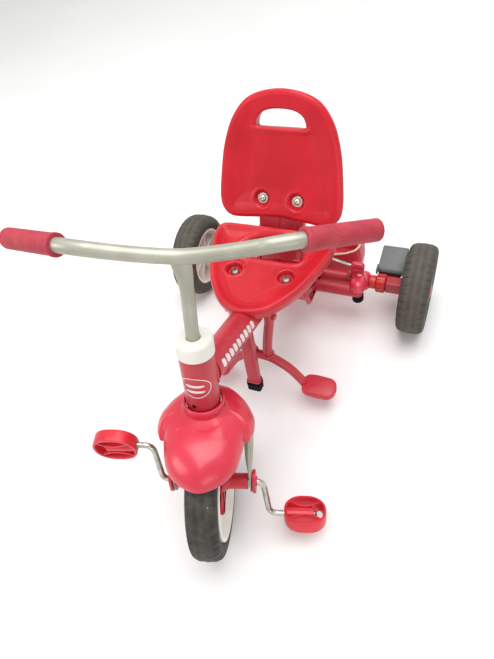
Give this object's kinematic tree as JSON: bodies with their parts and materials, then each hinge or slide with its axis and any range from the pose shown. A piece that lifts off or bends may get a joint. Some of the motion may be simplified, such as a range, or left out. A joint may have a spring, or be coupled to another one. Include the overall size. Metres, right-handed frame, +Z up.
{
  "type": "tricycle",
  "caption": "Child's pedal tricycle: front wheel turned by a cranked axle with pedals, fender, moulded seat and backrest, swinging footrest, rear bag and foot brakes.",
  "frame": {"origin": "middle of the footprint, on the ground under the tyres", "axes": "+Y towards the rear wheels, -Y towards the front wheel, +Z up, +X the rider's left seen facing forward"},
  "size_m": [0.532, 0.7056, 0.5373],
  "materials": {
    "frame_paint": "semi-gloss red powder paint",
    "silver_paint": "silver-champagne paint, slightly scuffed",
    "seat_plastic": "semi-gloss blow-moulded plastic",
    "back_plastic": "semi-gloss blow-moulded plastic",
    "fender_plastic": "glossy moulded plastic",
    "red_plastic": "moulded red plastic",
    "grip_rubber": "dusty red rubber, fine texture",
    "white_plastic": "cream-white moulded plastic",
    "tyre_rubber": "dark warm grey moulded rubber",
    "black_rubber": "black rubber",
    "grey_plastic": "mid grey plastic",
    "bright_steel": "bright plated steel",
    "bag_vinyl": "red vinyl with a cream piped edge"
  },
  "bodies": {
    "frame": {"head_tube": "frame_paint", "head_cap": "white_plastic", "bush_upper": "grey_plastic", "bush_lower": "grey_plastic", "main_tube": "frame_paint", "seat_pan": "seat_plastic", "seat_bracket": "frame_paint", "seat_bolt_left": "bright_steel", "seat_bolt_right": "bright_steel", "backrest": "back_plastic", "backrest_bracket": "frame_paint", "backrest_bolt_left": "bright_steel", "backrest_bolt_right": "bright_steel", "rear_cradle": "frame_paint", "axle_tube": "frame_paint", "rear_stand": "frame_paint", "stand_cap_left": "black_rubber", "stand_cap_right": "black_rubber", "clamp_left": "red_plastic", "clamp_right": "red_plastic", "axle_bush_left": "red_plastic", "axle_bush_right": "red_plastic", "brake_collar_left": "red_plastic", "brake_collar_right": "red_plastic", "end_sleeve_left": "frame_paint", "end_sleeve_right": "frame_paint", "rear_axle": "bright_steel", "stay_rod_left": "bright_steel", "stay_rod_right": "bright_steel", "bag": "bag_vinyl", "footrest_post": "frame_paint", "post_cap": "black_rubber"},
    "steering": {"handlebar": "silver_paint", "stem": "silver_paint", "grip_left": "grip_rubber", "grip_right": "grip_rubber", "fork": "silver_paint", "axle_bearing_left": "red_plastic", "axle_bearing_right": "red_plastic", "fender": "fender_plastic"},
    "front_wheel": {"front_tyre": "tyre_rubber", "front_rim": "white_plastic", "hub_star_left": "red_plastic", "hub_star_right": "red_plastic", "crank": "bright_steel", "pedal_nut_left": "bright_steel", "pedal_nut_right": "bright_steel"},
    "pedal_left_body": {"pedal_left": "red_plastic"},
    "pedal_right_body": {"pedal_right": "red_plastic"},
    "rear_wheel_left": {"rear_tyre_left": "tyre_rubber", "rear_rim_left": "white_plastic", "hub_cap_left": "red_plastic"},
    "rear_wheel_right": {"rear_tyre_right": "tyre_rubber", "rear_rim_right": "white_plastic", "hub_cap_right": "red_plastic"},
    "brake_left_body": {"brake_pedal_left": "grey_plastic"},
    "brake_right_body": {"brake_pedal_right": "grey_plastic"},
    "footrest": {"footrest_frame": "frame_paint", "footrest_pad_left": "red_plastic", "footrest_pad_right": "red_plastic"}
  },
  "joints": [
    {"name": "steering_turn", "type": "hinge", "parent": "frame", "child": "steering", "pos_m": [0, -0.2137, 0.11296], "axis": [0, 0.2656, 0.9641], "range_deg": [-63, 27]},
    {"name": "front_wheel_spin", "type": "hinge", "parent": "steering", "child": "front_wheel", "pos_m": [0.00763, -0.23634, 0.1192], "axis": [0.9511, 0.2979, -0.0821], "continuous": true},
    {"name": "pedal_left_spin", "type": "hinge", "parent": "front_wheel", "child": "pedal_left_body", "pos_m": [-0.13349, -0.25126, 0.19647], "axis": [0.9511, 0.2979, -0.0821], "continuous": true},
    {"name": "pedal_right_spin", "type": "hinge", "parent": "front_wheel", "child": "pedal_right_body", "pos_m": [0.14875, -0.22143, 0.04193], "axis": [0.9511, 0.2979, -0.0821], "continuous": true},
    {"name": "rear_wheel_left_spin", "type": "hinge", "parent": "frame", "child": "rear_wheel_left", "pos_m": [-0.239, 0.24949, 0.08942], "axis": [1, 0, 0], "continuous": true},
    {"name": "rear_wheel_right_spin", "type": "hinge", "parent": "frame", "child": "rear_wheel_right", "pos_m": [0.239, 0.24949, 0.08942], "axis": [1, 0, 0], "continuous": true},
    {"name": "brake_left_press", "type": "hinge", "parent": "frame", "child": "brake_left_body", "pos_m": [-0.183, 0.27649, 0.10192], "axis": [-1, 0, 0], "range_deg": [0, 12]},
    {"name": "brake_right_press", "type": "hinge", "parent": "frame", "child": "brake_right_body", "pos_m": [0.183, 0.27649, 0.10192], "axis": [-1, 0, 0], "range_deg": [0, 12]},
    {"name": "footrest_swing", "type": "hinge", "parent": "frame", "child": "footrest", "pos_m": [0, 0.01149, 0.24081], "axis": [1, 0, 0], "range_deg": [-10, 42]}
  ]
}
